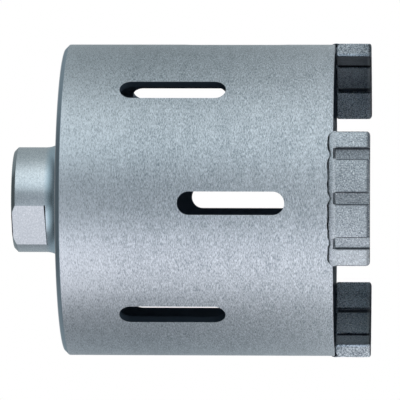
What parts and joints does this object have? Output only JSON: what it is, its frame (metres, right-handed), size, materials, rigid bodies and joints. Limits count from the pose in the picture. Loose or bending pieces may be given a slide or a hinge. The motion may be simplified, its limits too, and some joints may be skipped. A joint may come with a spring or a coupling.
{
  "type": "diamond core bit",
  "caption": "Dry diamond core bit: a slotted steel barrel with a threaded hub on its closed end and grooved diamond segments welded to its open rim.",
  "frame": {"origin": "on the drilling axis, level with the cutting faces of the segments, on which it stands", "axes": "+Z along the drilling axis, from the segments towards the hub"},
  "size_m": [0.0819, 0.0818, 0.093],
  "materials": {
    "barrel_steel": "satin",
    "turned_steel": "satin",
    "diamond_matrix": "matte",
    "weld_metal": "satin"
  },
  "bodies": {
    "root": {"barrel": "barrel_steel", "rear_plate_hub": "turned_steel", "segment_1": "diamond_matrix", "segment_2": "diamond_matrix", "segment_3": "diamond_matrix", "weld_bead_1": "weld_metal", "weld_bead_2": "weld_metal", "weld_bead_3": "weld_metal"}
  },
  "joints": []
}
